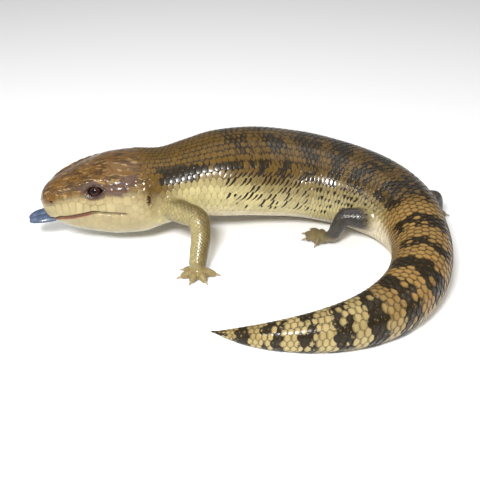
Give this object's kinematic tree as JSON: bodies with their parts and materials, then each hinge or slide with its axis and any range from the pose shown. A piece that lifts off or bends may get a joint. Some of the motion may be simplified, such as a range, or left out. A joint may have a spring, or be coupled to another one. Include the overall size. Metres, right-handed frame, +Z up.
{
  "type": "blue tongued skink",
  "caption": "Life-size still model of a blue tongued skink with its body bent round, tail curled forward on the floor and tongue showing.",
  "frame": {"origin": "on the floor, under the middle of the box round the whole animal", "axes": "+Z up; +X to the right of the picture, from the head towards the bend of the tail, along the longest extent; +Y away from the camera"},
  "size_m": [0.2545, 0.187, 0.0591],
  "materials": {
    "head_skin": "glossy golden brown head shields",
    "jaw_skin": "satin pale cream yellow scales",
    "body_skin": "satin overlapping scales, tan with dark bands",
    "tail_skin": "satin overlapping scales, orange tan with dark bands",
    "foreleg_skin": "glossy pale olive cream scales",
    "hindleg_skin": "satin dark grey brown scales",
    "foot_skin": "satin ochre scales with pale claws",
    "eye": "wet gloss dark reddish brown",
    "tongue": "moist blue grey"
  },
  "bodies": {
    "root": {"head": "head_skin", "lower_jaw": "jaw_skin", "tongue": "tongue", "eye_left": "eye", "eye_right": "eye", "neck": "body_skin", "torso_front": "body_skin", "torso_middle": "body_skin", "torso_rear": "body_skin", "tail_base": "tail_skin", "tail_middle": "tail_skin", "tail_tip": "tail_skin", "foreleg_left": "foreleg_skin", "foreleg_right": "foreleg_skin", "hindleg_left": "hindleg_skin", "hindleg_right": "hindleg_skin", "forefoot_left": "foot_skin", "forefoot_right": "foot_skin", "hindfoot_left": "foot_skin", "hindfoot_right": "foot_skin"}
  },
  "joints": []
}
